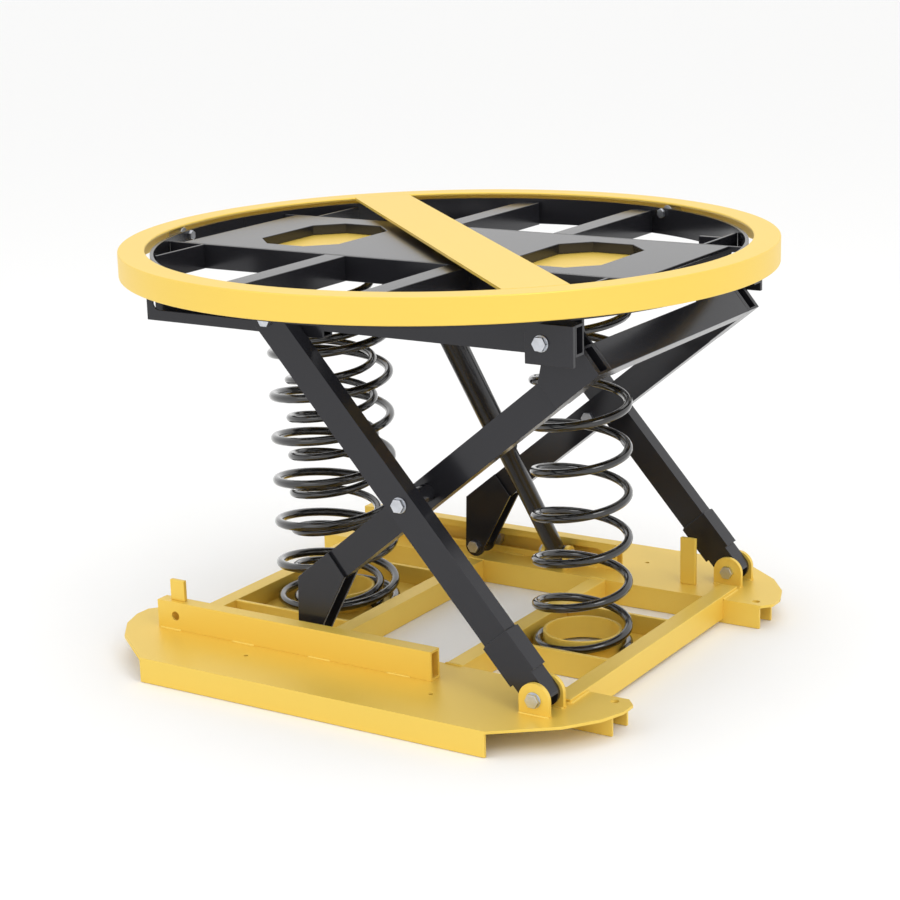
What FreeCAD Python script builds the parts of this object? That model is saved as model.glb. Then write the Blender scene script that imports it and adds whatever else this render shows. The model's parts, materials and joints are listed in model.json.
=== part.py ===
import FreeCAD, Part
import os
import Sketcher

# Spring-balanced lift table with a turning ring top, standing fully raised.
# Millimetres. X runs along the side rails, Y across them, Z up.
# The origin is on the floor under the centre of the ring.

doc = FreeCAD.newDocument("LiftTable")
V = FreeCAD.Vector

SIZES = (
    # scissor legs
    ("leg_length", 734.0, "pin to pin length of every leg"),
    ("pin_rise", 550.0, "height of the upper pins over the lower pins when raised"),
    ("low_angle", 8.5, "slope of the pin lines when lowered, degrees"),
    ("pivot_x", 370.0, "X of the fixed pins"),
    ("pin_z", 68.0, "height of the lower pins"),
    ("leg_depth", 50.0, "leg tube size in its plane of swing"),
    ("leg_width", 30.0, "leg tube size across"),
    ("leg_wall", 4.0, "leg tube wall"),
    ("outer_y", 352.0, "Y of the outer legs' mid-plane"),
    ("inner_y", 270.0, "Y of the inner legs' mid-plane"),
    ("inner_tilt", 9.3, "angle between an inner leg's tube and its pin line"),
    ("inner_low_reach", 315.0, "inner tube length below the centre pin"),
    ("inner_top_reach", 384.0, "inner tube length above the centre pin"),
    ("fork_length", 84.0, "length of the outer legs' lower end fitting"),
    ("fork_wall", 3.0, "end fitting wall outside the tube"),
    ("nose_radius", 22.0, "radius of the end fitting round its pin"),
    ("plate_gauge", 6.0, "foot and head plate thickness"),
    ("bolt_radius", 8.0, "radius of all main pivot bolts"),
    ("shoulder_radius", 11.0, "radius of the roller axles' shoulders"),
    ("spacer_radius", 15.0, "radius of the centre spacer bosses"),
    ("cross_member", 30.0, "thickness of the inner legs' upper cross member"),
    ("fit", 0.4, "radial clearance of the bolts in their holes"),
    ("head_radius", 12.0, "bolt head half-width"),
    ("head_height", 8.0, "bolt head height"),
    # base
    ("base_half_y", 470.0, "half the base width over the rails"),
    ("rail_inner_y", 250.0, "Y of the rails' inner edges"),
    ("rail_straight", 336.0, "half-length of a rail's straight outer edge"),
    ("rail_half", 484.0, "half-length of a rail"),
    ("rail_height", 43.0, "rail height"),
    ("rail_gauge", 5.0, "rail steel thickness"),
    ("rail_web", 50.0, "from a rail's inner flange to its web"),
    ("floor_hole_x", 452.0, "X of the floor fixing holes"),
    ("floor_hole_y", 268.0, "Y of the floor fixing holes"),
    ("floor_hole_radius", 7.0, "floor fixing hole radius"),
    ("small_hole_x", 183.0, "X of the small holes in the rails"),
    ("small_hole_y", 378.0, "Y of the small holes in the rails"),
    ("small_hole_radius", 4.0, "radius of the small holes in the rails"),
    ("cross_width", 32.0, "cross tube width"),
    ("cross_wall", 4.0, "cross tube wall"),
    ("cross_x_left", -389.0, "X of the left end cross tube"),
    ("cross_x_mid_left", -114.0, "X of the left inner cross tube"),
    ("cross_x_mid_right", 146.0, "X of the right inner cross tube"),
    ("cross_x_right", 381.0, "X of the right end cross tube"),
    ("lap", 60.0, "length of the right tube's lap over each rail"),
    ("lap_rise", 7.0, "height of the right tube over the rails"),
    ("bay_gauge", 8.0, "bay bar thickness"),
    ("left_bay_y", 158.0, "half-width of the left spring bay"),
    ("right_bay_y", 113.0, "half-width of the right spring bay"),
    ("seat_z", 5.0, "height of the seat plates' underside"),
    ("seat_gauge", 5.0, "seat plate thickness"),
    ("boss_height", 34.0, "height of the spring locating rings"),
    # guide tubes
    ("guide_y", 320.0, "Y of the guide tubes and side beams"),
    ("guide_width", 26.0, "guide tube width"),
    ("guide_height", 50.0, "guide tube height"),
    ("guide_wall", 4.0, "guide tube wall"),
    ("guide_right", 155.0, "X of the guide tubes' right end"),
    ("guide_margin", 50.0, "lower guide length past a roller's furthest axis"),
    ("upper_margin", 33.0, "upper guide length past a roller's furthest axis"),
    ("slot_height", 24.0, "height of the guide slots"),
    ("slot_margin", 20.0, "slot length past a roller's furthest axis"),
    ("lower_roller_radius", 20.0, "lower roller radius"),
    ("upper_roller_radius", 25.0, "upper roller radius"),
    ("roller_width", 13.0, "leg roller width"),
    ("post_top", 130.0, "height of the stop posts' tops"),
    ("post_width", 30.0, "stop post width"),
    ("post_inset", 22.0, "front stop post's distance from its guide's end"),
    ("post_gauge", 8.0, "stop post thickness"),
    # lugs
    ("lug_gauge", 8.0, "pivot lug thickness"),
    ("lug_radius", 27.0, "pivot lug radius"),
    ("lug_gap", 1.0, "side clearance between fitting and lug"),
    # springs
    ("spring_x_left", -256.0, "X of the left springs"),
    ("spring_x_right", 250.0, "X of the right spring"),
    ("left_coil_radius", 104.0, "mean coil radius, outer left spring"),
    ("left_wire", 7.0, "wire radius, outer left spring"),
    ("nested_coil_radius", 76.0, "mean coil radius, inner left spring"),
    ("nested_wire", 6.0, "wire radius, inner left spring"),
    ("right_coil_radius", 79.0, "mean coil radius, right spring"),
    ("right_wire", 6.5, "wire radius, right spring"),
    ("left_half_turns", 19, "half turns of the outer left spring"),
    ("nested_half_turns", 21, "half turns of the inner left spring"),
    ("right_half_turns", 19, "half turns of the right spring"),
    # top frame
    ("top_z", 705.0, "height of the table top when raised"),
    ("ring_radius", 555.0, "outer radius of the ring"),
    ("ring_flange", 45.0, "width of the ring's top flange"),
    ("ring_skirt", 43.0, "height of the ring's skirt"),
    ("ring_gauge", 5.0, "ring steel thickness"),
    ("crossbar_width", 105.0, "crossbar width"),
    ("crossbar_angle", -43.5, "crossbar direction, degrees from X"),
    ("hoop_gap", 8.0, "gap between the hoop and the ring's inner edge"),
    ("hoop_gauge", 6.0, "hoop thickness"),
    ("hoop_z", 648.0, "height of the hoop's lower edge"),
    ("hoop_drop", 9.0, "depth of the hoop's upper edge below the top"),
    ("deck_drop", 15.0, "depth of the deck's surface below the top"),
    ("deck_gauge", 6.0, "deck plate thickness"),
    ("deck_half_x", 440.0, "half-length of the deck"),
    ("deck_half_y", 165.0, "half-width of the deck"),
    ("lip_depth", 12.0, "depth of the lip under each deck opening"),
    ("opening_half_x", 80.0, "half-length of a deck opening"),
    ("opening_half_y", 118.0, "half-width of a deck opening"),
    ("opening_corner", 42.0, "corner cut of a deck opening"),
    ("cap_half_x", 118.0, "half-length of a spring cap"),
    ("cap_gauge", 6.0, "spring cap thickness"),
    ("cap_boss", 30.0, "height of a spring cap's locating ring"),
    ("rib_gauge", 6.0, "deck rib thickness"),
    ("beam_width", 40.0, "cross beam width"),
    ("beam_wall", 4.0, "cross beam wall"),
    ("beam_x_left", -115.0, "X of the left cross beams"),
    ("beam_x_right", 125.0, "X of the right cross beams"),
    ("end_rib_x", 392.0, "X of the end ribs"),
    ("side_beam_z", 600.0, "height of the side beams' underside"),
    ("side_beam_split", -30.0, "X where roller guide meets side beam"),
    ("upper_guide_half", 30.0, "half-height of an upper roller guide"),
    ("bracket_left", 342.0, "X of the pivot brackets' left edge"),
    ("bracket_right", 424.0, "X of the pivot brackets' right edge"),
    ("bracket_z", 585.0, "height of the pivot brackets' lower edge"),
    ("ring_roller_radius", 13.0, "ring roller radius"),
    ("ring_roller_width", 24.0, "ring roller width"),
    ("ring_axle_radius", 5.0, "ring roller axle radius"),
    ("first_roller_angle", 10.0, "direction of the first ring roller, degrees"),
    ("hub_pin_radius", 15.0, "radius of the pin the ring turns on"),
    # damper
    ("damper_x", 45.0, "X of the damper"),
    ("damper_base_y", 282.0, "Y of the damper's lower pin"),
    ("damper_top_y", -125.0, "Y of the damper's upper pin"),
    ("damper_eye_radius", 17.0, "radius of the damper's eyes"),
    ("damper_eye_width", 36.0, "width of the damper's eyes"),
    ("damper_radius", 17.0, "radius of the damper's cylinder"),
    ("damper_rod_radius", 10.0, "radius of the damper's rod"),
    ("damper_cover_radius", 21.0, "radius of the damper's cover"),
    ("damper_body_length", 330.0, "length of the damper's cylinder"),
    ("damper_cover_length", 345.0, "length of the damper's cover"),
    ("damper_cover_gap", 34.0, "distance from the upper pin to the cover"),
    ("damper_lug_radius", 18.0, "half-width of the damper's lugs"),
    ("mouth_angle", 38.0, "slope of the damper bracket's open slot, degrees"),
    ("mouth_half", 12.0, "half-width of the damper bracket's open slot"),
)

sheet = doc.addObject("Spreadsheet::Sheet", "Sizes")
for row, (alias, value, meaning) in enumerate(SIZES, start=1):
    sheet.set("A%d" % row, meaning)
    sheet.set("B%d" % row, str(value))
    sheet.setAlias("B%d" % row, alias)
doc.recompute()


def z(name):
    """The expression that reads one size."""
    return "Sizes." + name


def size(name):
    """The number that one size holds."""
    return float(sheet.get(name))


def worked(expression):
    """The number that an expression gives now."""
    result = sheet.evalExpression(expression)
    return float(getattr(result, "Value", result))


# Expressions that several pieces share.
RISE_ANGLE = "asin(Sizes.pin_rise / Sizes.leg_length)"
REACH = "(Sizes.leg_length * cos(%s))" % RISE_ANGLE
LOW_REACH = "(Sizes.leg_length * cos(Sizes.low_angle))"
TRAVEL = "(Sizes.pin_rise - Sizes.leg_length * sin(Sizes.low_angle))"
ROLLER_X = "(Sizes.pivot_x - %s)" % REACH
ROLLER_LOW_X = "(Sizes.pivot_x - %s)" % LOW_REACH
UPPER_Z = "(Sizes.pin_z + Sizes.pin_rise)"
MID_X = "(Sizes.pivot_x - %s / 2)" % REACH
MID_Z = "(Sizes.pin_z + Sizes.pin_rise / 2)"
GUIDE_LEFT = "(%s - Sizes.guide_margin)" % ROLLER_LOW_X
GUIDE_IN = "(Sizes.guide_y - Sizes.guide_width / 2)"
GUIDE_OUT = "(Sizes.guide_y + Sizes.guide_width / 2)"
RAIL_FLOOR = "(Sizes.rail_height - Sizes.rail_gauge)"
RING_IN = "(Sizes.ring_radius - Sizes.ring_flange)"
HOOP_OUT = "(%s - Sizes.hoop_gap)" % RING_IN
HOOP_IN = "(%s - Sizes.hoop_gauge)" % HOOP_OUT
HOOP_TOP = "(Sizes.top_z - Sizes.hoop_drop)"
DECK_TOP = "(Sizes.top_z - Sizes.deck_drop)"
DECK_LOW = "(%s - Sizes.deck_gauge)" % DECK_TOP
CAP_TOP = "(%s - Sizes.lip_depth)" % DECK_LOW
CAP_LOW = "(%s - Sizes.cap_gauge)" % CAP_TOP
SEAT_TOP = "(Sizes.seat_z + Sizes.seat_gauge)"
FORK_HALF = "(Sizes.leg_width / 2 + Sizes.fork_wall)"
LUG_IN = "(%s + Sizes.lug_gap)" % FORK_HALF
PLATE_OUT = "(Sizes.leg_width / 2 + Sizes.plate_gauge)"
PLATES_OUT = "(Sizes.inner_y + %s)" % PLATE_OUT
CHEEK_IN = "(Sizes.damper_eye_width / 2 + Sizes.lug_gap)"
HOLE = "(Sizes.bolt_radius + Sizes.fit)"

SIDES = (("front", -1), ("rear", 1))


def place(thing, x="0", y="0", up="0", axis=None, angle=None):
    """Put a thing at a point given by expressions, turned about an axis."""
    if axis is not None:
        start = worked(angle)
        thing.Placement = FreeCAD.Placement(V(0, 0, 0), FreeCAD.Rotation(axis, start))
        thing.setExpression("Placement.Rotation.Angle", angle)
    thing.setExpression("Placement.Base.x", x)
    thing.setExpression("Placement.Base.y", y)
    thing.setExpression("Placement.Base.z", up)
    return thing


def box(x0, x1, y0, y1, z0, z1):
    """A block between six expressions."""
    block = doc.addObject("Part::Box", "Block")
    block.setExpression("Length", "(%s) - (%s)" % (x1, x0))
    block.setExpression("Width", "(%s) - (%s)" % (y1, y0))
    block.setExpression("Height", "(%s) - (%s)" % (z1, z0))
    return place(block, x0, y0, z0)


def rod(radius, start, end, x, y, up, along):
    """A round bar along one axis; start and end are measured along it."""
    bar = doc.addObject("Part::Cylinder", "Bar")
    bar.setExpression("Radius", radius)
    bar.setExpression("Height", "(%s) - (%s)" % (end, start))
    if along == "x":
        return place(bar, start, y, up, V(0, 1, 0), "90")
    if along == "y":
        return place(bar, x, start, up, V(1, 0, 0), "-90")
    return place(bar, x, y, start)


def hexagon(half_width, start, end, x, y, up, along):
    """A six-sided bar, for bolt heads and nuts."""
    bar = doc.addObject("Part::Prism", "Head")
    bar.Polygon = 6
    bar.setExpression("Circumradius", half_width)
    bar.setExpression("Height", "(%s) - (%s)" % (end, start))
    if along == "x":
        return place(bar, start, y, up, V(0, 1, 0), "90")
    return place(bar, x, start, up, V(1, 0, 0), "-90")


def cut(body, *tools):
    """Take the tools away from the body."""
    for tool in tools:
        result = doc.addObject("Part::Cut", "Cut")
        result.Base = body
        result.Tool = tool
        body = result
    return body


def fuse(*pieces):
    """Join pieces into one."""
    result = doc.addObject("Part::MultiFuse", "Join")
    result.Shapes = list(pieces)
    result.Refine = True
    return result


def group(*pieces):
    """Hold separate solids together in one node."""
    result = doc.addObject("Part::Compound", "Set")
    result.Links = list(pieces)
    return result


def sketch_outline(sketch, points):
    """Draw a closed outline; every corner is tied to two expressions."""
    count = len(points)
    places = [V(worked(across), worked(up), 0) for across, up in points]
    for index in range(count):
        line = Part.LineSegment(places[index], places[(index + 1) % count])
        sketch.addGeometry(line, False)
    for index in range(count):
        sketch.addConstraint(Sketcher.Constraint("Coincident", index, 2, (index + 1) % count, 1))
    for index, (across, up) in enumerate(points):
        for kind, value, now in (
            ("DistanceX", across, places[index].x),
            ("DistanceY", up, places[index].y),
        ):
            at = sketch.addConstraint(Sketcher.Constraint(kind, -1, 1, index, 1, now))
            sketch.setExpression("Constraints[%d]" % at, value)


def sketched(points, plane):
    """A body with one sketch of a closed outline."""
    body = doc.addObject("PartDesign::Body", "Body")
    sketch = body.newObject("Sketcher::SketchObject", "Sketch")
    role = plane + "_Plane"
    origin = [item for item in body.Origin.OriginFeatures if item.Role == role][0]
    sketch.AttachmentSupport = [(origin, "")]
    sketch.MapMode = "FlatFace"
    sketch_outline(sketch, points)
    return body, sketch


def pad(points, length, plane="XY", midplane=False):
    """A plate: a sketched outline with thickness."""
    body, sketch = sketched(points, plane)
    plate = body.newObject("PartDesign::Pad", "Plate")
    plate.Profile = sketch
    plate.setExpression("Length", length)
    plate.Midplane = midplane
    return body


def node(thing, label):
    """Name a finished piece and keep it for the export."""
    thing.Label = label
    nodes.append(thing)
    return thing


def minus(text):
    """The same expression with its sign turned."""
    return "-(%s)" % text


def on_side(side, text):
    """An expression on the front (-1) or rear (1) side."""
    return text if side > 0 else minus(text)


def span(side, near, far):
    """Near and far distances from the middle, in rising order of Y."""
    return (near, far) if side > 0 else (minus(far), minus(near))


nodes = []


def lifted(thing, up):
    """Raise a thing drawn on the floor."""
    return place(thing, "0", "0", up)


# ------------------------------------------------------------------ base


def rail_outline(side):
    """Corners of a rail's plate."""
    outer = on_side(side, "Sizes.base_half_y")
    inner = on_side(side, "Sizes.rail_inner_y")
    shoulder = on_side(side, "Sizes.base_half_y - 73")
    elbow = on_side(side, "Sizes.base_half_y - 125")
    tip = on_side(side, "Sizes.base_half_y - 170")
    tab = on_side(side, "Sizes.rail_inner_y + 18")
    right = [
        ("Sizes.rail_straight", outer),
        ("Sizes.rail_half - 54", shoulder),
        ("Sizes.rail_half - 16", elbow),
        ("Sizes.rail_half", tip),
        ("Sizes.rail_half", tab),
        ("Sizes.rail_half - 16", inner),
    ]
    left = [(minus(across), up) for across, up in reversed(right)]
    return right + left


def side_rail(name, side):
    """A flat plate on an outer flange, an inner flange and a web between them."""
    parts = [lifted(pad(rail_outline(side), z("rail_gauge")), RAIL_FLOOR)]
    for near, half in (
        ("(Sizes.base_half_y - Sizes.rail_gauge)", "Sizes.rail_straight"),
        ("Sizes.rail_inner_y", "(Sizes.rail_half - 18)"),
        ("(Sizes.rail_inner_y + Sizes.rail_web)", "(Sizes.rail_half - 18)"),
    ):
        low, high = span(side, near, "%s + Sizes.rail_gauge" % near)
        parts.append(box(minus(half), half, low, high, "0", "Sizes.rail_height - 1"))
    holes = []
    for kind in ("floor_hole", "small_hole"):
        for x in (z(kind + "_x"), minus(z(kind + "_x"))):
            y = on_side(side, z(kind + "_y"))
            holes.append(rod(z(kind + "_radius"), "-1", "Sizes.rail_height + 1", x, y, "0", "z"))
    node(cut(fuse(*parts), *holes), name + "_side_rail")


def tube_y(x, half_length, z0, z1):
    """A square tube across the base, open at both ends."""
    left = "%s - Sizes.cross_width / 2" % x
    right = "%s + Sizes.cross_width / 2" % x
    outside = box(left, right, minus(half_length), half_length, z0, z1)
    inside = box(
        "%s + Sizes.cross_wall" % left,
        "%s - Sizes.cross_wall" % right,
        "%s - 1" % minus(half_length),
        "%s + 1" % half_length,
        "%s + Sizes.cross_wall" % z0,
        "%s - Sizes.cross_wall" % z1,
    )
    return cut(outside, inside)


def cross_tubes():
    """Three plain tubes, and the right end tube that laps over the rails."""
    plain = [
        tube_y(z(x), z("rail_inner_y"), "0", z("rail_height"))
        for x in ("cross_x_left", "cross_x_mid_left", "cross_x_mid_right")
    ]
    node(group(*plain), "cross_tubes")
    lap_end = "(Sizes.rail_inner_y + Sizes.lap)"
    top = "(Sizes.rail_height + Sizes.lap_rise)"
    tube = tube_y(z("cross_x_right"), lap_end, z("lap_rise"), top)
    copes = []
    for _, side in SIDES:
        low, high = span(side, z("rail_inner_y"), "%s + 1" % lap_end)
        left = "Sizes.cross_x_right - Sizes.cross_width"
        right = "Sizes.cross_x_right + Sizes.cross_width"
        copes.append(box(left, right, low, high, "0", z("rail_height")))
    node(cut(tube, *copes), "right_end_cross_tube")


def spring_bay(name, left_tube, right_tube, half_y, spring_x, coil, wire):
    """The two bars that close a spring bay, and the seat plate in it."""
    left = "%s + Sizes.cross_width / 2" % z(left_tube)
    right = "%s - Sizes.cross_width / 2" % z(right_tube)
    bars = []
    for _, side in SIDES:
        low, high = span(side, "%s - Sizes.bay_gauge" % z(half_y), z(half_y))
        bars.append(box(left, right, low, high, "0", z("rail_height")))
    node(group(*bars), name + "_bay_bars")
    edge = "(%s - Sizes.bay_gauge)" % z(half_y)
    plate = box(left, right, minus(edge), edge, z("seat_z"), SEAT_TOP)
    ring = "(%s - %s - 5)" % (z(coil), z(wire))
    boss_top = "%s + Sizes.boss_height" % SEAT_TOP
    boss = rod(ring, z("seat_z"), boss_top, z(spring_x), "0", "0", "z")
    bore = rod("%s - 5" % ring, "0", "%s + 1" % boss_top, z(spring_x), "0", "0", "z")
    node(cut(fuse(plate, boss), bore), name + "_spring_seat")


def slot_tool(left, right, low, high, height):
    """A round-ended slot along X, cut through from low to high in Y."""
    half = "(Sizes.slot_height / 2)"
    middle = box(
        "%s + %s" % (left, half),
        "%s - %s" % (right, half),
        low,
        high,
        "%s - %s" % (height, half),
        "%s + %s" % (height, half),
    )
    ends = [
        rod(half, low, high, "%s + %s" % (left, half), "0", height, "y"),
        rod(half, low, high, "%s - %s" % (right, half), "0", height, "y"),
    ]
    return fuse(middle, *ends)


def tube_x(left, right, side, z0, z1):
    """A rectangular tube along a side, open at both ends."""
    low, high = span(side, GUIDE_IN, GUIDE_OUT)
    outside = box(left, right, low, high, z0, z1)
    inside = box(
        "%s - 1" % left,
        "%s + 1" % right,
        "%s + Sizes.guide_wall" % low,
        "%s - Sizes.guide_wall" % high,
        "%s + Sizes.guide_wall" % z0,
        "%s - Sizes.guide_wall" % z1,
    )
    return cut(outside, inside)


def guide_tube(name, side):
    """The lower roller guide, slotted on its inner face."""
    top = "(Sizes.rail_height + Sizes.guide_height)"
    tube = tube_x(GUIDE_LEFT, z("guide_right"), side, z("rail_height"), top)
    low, high = span(side, "%s - 1" % GUIDE_IN, z("guide_y"))
    slot_left = "(%s - Sizes.slot_margin)" % ROLLER_LOW_X
    slot = slot_tool(slot_left, "(Sizes.guide_right - 28)", low, high, z("pin_z"))
    low, high = span(side, z("guide_y"), "%s + 1" % GUIDE_OUT)
    hole_x = "(%s - 12)" % ROLLER_LOW_X
    hole = rod(z("bolt_radius"), low, high, hole_x, "0", z("pin_z"), "y")
    node(cut(tube, slot, hole), name + "_guide_tube")


def stop_posts():
    """One flat upright on the front guide and one on the rear rail."""
    left = "(%s + Sizes.post_inset)" % GUIDE_LEFT
    low, high = span(-1, "Sizes.guide_y - 5", "Sizes.guide_y - 5 + Sizes.post_gauge")
    guide_top = "Sizes.rail_height + Sizes.guide_height"
    front = box(left, "%s + Sizes.post_width" % left, low, high, guide_top, z("post_top"))
    right = "(Sizes.pivot_x - 51)"
    low = "(%s + 7)" % PLATES_OUT
    high = "(%s + Sizes.post_gauge)" % low
    rear = box("%s - Sizes.post_width" % right, right, low, high, z("rail_height"), z("post_top"))
    node(group(front, rear), "stop_posts")


def round_lug(x, low, high, radius):
    """A round-topped lug that stands on a rail, with a bolt hole."""
    block = box(
        "%s - %s" % (x, radius), "%s + %s" % (x, radius), low, high, z("rail_height"), z("pin_z")
    )
    round_top = rod(radius, low, high, x, "0", z("pin_z"), "y")
    floor_cut = box(
        "%s - 2 * %s" % (x, radius), "%s + 2 * %s" % (x, radius), low, high, "0", z("rail_height")
    )
    hole = rod(HOLE, "%s - 1" % low, "%s + 1" % high, x, "0", z("pin_z"), "y")
    return cut(fuse(block, round_top), floor_cut, hole)


def base_pivots():
    """Lug pairs and bolts for the outer legs' lower ends."""
    lugs = []
    bolts = []
    for _, side in SIDES:
        for near, far in (
            ("(Sizes.outer_y + %s)" % LUG_IN, "(Sizes.outer_y + %s + Sizes.lug_gauge)" % LUG_IN),
            ("(Sizes.outer_y - %s - Sizes.lug_gauge)" % LUG_IN, "(Sizes.outer_y - %s)" % LUG_IN),
        ):
            low, high = span(side, near, far)
            lugs.append(round_lug(z("pivot_x"), "(%s)" % low, "(%s)" % high, z("lug_radius")))
        reach = "(%s + Sizes.lug_gauge)" % LUG_IN
        inner = "(Sizes.outer_y - %s)" % reach
        outer = "(Sizes.outer_y + %s)" % reach
        bolts.append(bolt_y(side, inner, outer, z("pivot_x"), z("pin_z")))
    node(group(*lugs), "base_pivot_lugs")
    node(group(*bolts), "base_pivot_bolts")


def bolt_y(side, inner, outer, x, up):
    """A bolt across from inner to outer, with a head and a nut."""
    low, high = span(side, inner, outer)
    shank = rod(z("bolt_radius"), low, high, x, "0", up, "y")
    low, high = span(side, outer, "%s + Sizes.head_height" % outer)
    head = hexagon(z("head_radius"), low, high, x, "0", up, "y")
    low, high = span(side, "%s - Sizes.head_height" % inner, inner)
    nut = hexagon(z("head_radius"), low, high, x, "0", up, "y")
    return fuse(shank, head, nut)


def damper_base():
    """The damper's two lugs on the rear rail, and their bolt."""
    y = z("damper_base_y")
    radius = z("damper_lug_radius")
    far = "(%s + Sizes.lug_gauge)" % CHEEK_IN
    lugs = []
    for left, right in (
        ("(Sizes.damper_x + %s)" % CHEEK_IN, "(Sizes.damper_x + %s)" % far),
        ("(Sizes.damper_x - %s)" % far, "(Sizes.damper_x - %s)" % CHEEK_IN),
    ):
        low = "%s - %s" % (y, radius)
        high = "%s + %s" % (y, radius)
        block = box(left, right, low, high, z("rail_height"), z("pin_z"))
        top = rod(radius, left, right, "0", y, z("pin_z"), "x")
        hole = rod(HOLE, "%s - 1" % left, "%s + 1" % right, "0", y, z("pin_z"), "x")
        lugs.append(cut(fuse(block, top), hole))
    node(group(*lugs), "damper_lugs")
    left = "(Sizes.damper_x - %s)" % far
    right = "(Sizes.damper_x + %s)" % far
    shank = rod(z("bolt_radius"), left, right, "0", y, z("pin_z"), "x")
    far_end = "%s + Sizes.head_height" % right
    head = hexagon(z("head_radius"), right, far_end, "0", y, z("pin_z"), "x")
    far_end = "%s - Sizes.head_height" % left
    nut = hexagon(z("head_radius"), far_end, left, "0", y, z("pin_z"), "x")
    node(fuse(shank, head, nut), "damper_base_bolt")


for side_name, side_sign in SIDES:
    side_rail(side_name, side_sign)
cross_tubes()
spring_bay(
    "left",
    "cross_x_left",
    "cross_x_mid_left",
    "left_bay_y",
    "spring_x_left",
    "nested_coil_radius",
    "nested_wire",
)
spring_bay(
    "right",
    "cross_x_mid_right",
    "cross_x_right",
    "right_bay_y",
    "spring_x_right",
    "right_coil_radius",
    "right_wire",
)
for side_name, side_sign in SIDES:
    guide_tube(side_name, side_sign)
stop_posts()
base_pivots()
damper_base()

# ------------------------------------------------------------------ legs
# A leg is drawn lying along X with a pin at its origin, then set on its slope.

LEG_TURN = "180 deg + %s" % RISE_ANGLE
INNER_TURN = "-(%s - Sizes.inner_tilt * 1 deg)" % RISE_ANGLE
HALF_DEPTH = "(Sizes.leg_depth / 2)"
HALF_WIDTH = "(Sizes.leg_width / 2)"
Y_AXIS = V(0, 1, 0)


def leg_tube(start, end):
    """A leg's tube along X, open at both ends, centred on X and Y."""
    outside = box(start, end, minus(HALF_WIDTH), HALF_WIDTH, minus(HALF_DEPTH), HALF_DEPTH)
    inside = box(
        "%s - 1" % start,
        "%s + 1" % end,
        "-%s + Sizes.leg_wall" % HALF_WIDTH,
        "%s - Sizes.leg_wall" % HALF_WIDTH,
        "-%s + Sizes.leg_wall" % HALF_DEPTH,
        "%s - Sizes.leg_wall" % HALF_DEPTH,
    )
    return cut(outside, inside)


def cross_hole(x):
    """A bolt hole across a leg's fitting or tube."""
    return rod(HOLE, "-%s - 1" % FORK_HALF, "%s + 1" % FORK_HALF, x, "0", "0", "y")


def outer_leg(name, side):
    """An outer leg's tube and its wrapped lower end fitting."""
    end = z("leg_length")
    outside = box(z("fork_length"), end, minus(HALF_WIDTH), HALF_WIDTH, minus(HALF_DEPTH), HALF_DEPTH)
    tip = rod(HALF_DEPTH, minus(HALF_WIDTH), HALF_WIDTH, end, "0", "0", "y")
    depth = "(%s - Sizes.leg_wall)" % HALF_DEPTH
    width = "(%s - Sizes.leg_wall)" % HALF_WIDTH
    inside = box("%s - 1" % z("fork_length"), end, minus(width), width, minus(depth), depth)
    round_space = rod(depth, minus(width), width, end, "0", "0", "y")
    holes = [cross_hole("Sizes.leg_length / 2"), cross_hole(end)]
    leg = cut(fuse(outside, tip), fuse(inside, round_space), *holes)
    y = on_side(side, z("outer_y"))
    node(place(leg, z("pivot_x"), y, z("pin_z"), Y_AXIS, LEG_TURN), name + "_outer_leg")
    half = "(%s + Sizes.fork_wall)" % HALF_DEPTH
    body = box("0", "(Sizes.fork_length + 26)", minus(FORK_HALF), FORK_HALF, minus(half), half)
    corners = [
        box("-1", "0.45 * Sizes.fork_length", "-100", "100", z("nose_radius"), "200"),
        box("-1", "0.45 * Sizes.fork_length", "-100", "100", "-200", minus(z("nose_radius"))),
    ]
    nose = rod(z("nose_radius"), minus(FORK_HALF), FORK_HALF, "0", "0", "0", "y")
    sleeve = box(
        z("fork_length"),
        "Sizes.fork_length + 30",
        minus(HALF_WIDTH),
        HALF_WIDTH,
        minus(HALF_DEPTH),
        HALF_DEPTH,
    )
    channel = box(
        "-50",
        "Sizes.fork_length - 30",
        "-%s + Sizes.leg_wall + Sizes.fork_wall" % FORK_HALF,
        "%s - Sizes.leg_wall - Sizes.fork_wall" % FORK_HALF,
        "-%s + Sizes.leg_wall" % z("nose_radius"),
        "100",
    )
    core = rod("(Sizes.bolt_radius + 6)", minus(FORK_HALF), FORK_HALF, "0", "0", "0", "y")
    shell = fuse(cut(fuse(cut(body, *corners), nose), sleeve, channel), core)
    fork = cut(shell, cross_hole("0"))
    node(place(fork, z("pivot_x"), y, z("pin_z"), Y_AXIS, LEG_TURN), name + "_leg_fork")


def roller(side, radius, x, up, name):
    """A leg roller, bored for its axle, in the middle of its guide."""
    low, high = span(
        side, "(Sizes.guide_y - Sizes.roller_width / 2)", "(Sizes.guide_y + Sizes.roller_width / 2)"
    )
    wheel = rod(radius, low, high, x, "0", up, "y")
    bore = rod(HOLE, "%s - 1" % low, "%s + 1" % high, x, "0", up, "y")
    node(cut(wheel, bore), name)


def axle(side, head_at, end_at, shoulder, x, up):
    """A roller axle from its head to its end, with a shoulder by the roller."""
    outward = side if worked(end_at) > worked(head_at) else -side
    near, far = (head_at, end_at) if outward == side else (end_at, head_at)
    low, high = span(side, near, far)
    shank = rod(z("bolt_radius"), low, high, x, "0", up, "y")
    start, stop = shoulder
    low, high = span(side, start, stop)
    collar = rod(z("shoulder_radius"), low, high, x, "0", up, "y")
    if outward == side:
        low, high = span(side, "%s - Sizes.head_height" % head_at, head_at)
    else:
        low, high = span(side, head_at, "%s + Sizes.head_height" % head_at)
    head = hexagon(z("head_radius"), low, high, x, "0", up, "y")
    return fuse(shank, collar, head)


HALF_PIN_X = "(Sizes.leg_length / 2 * cos(Sizes.inner_tilt))"
HALF_PIN_Z = "(Sizes.leg_length / 2 * sin(Sizes.inner_tilt))"


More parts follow.
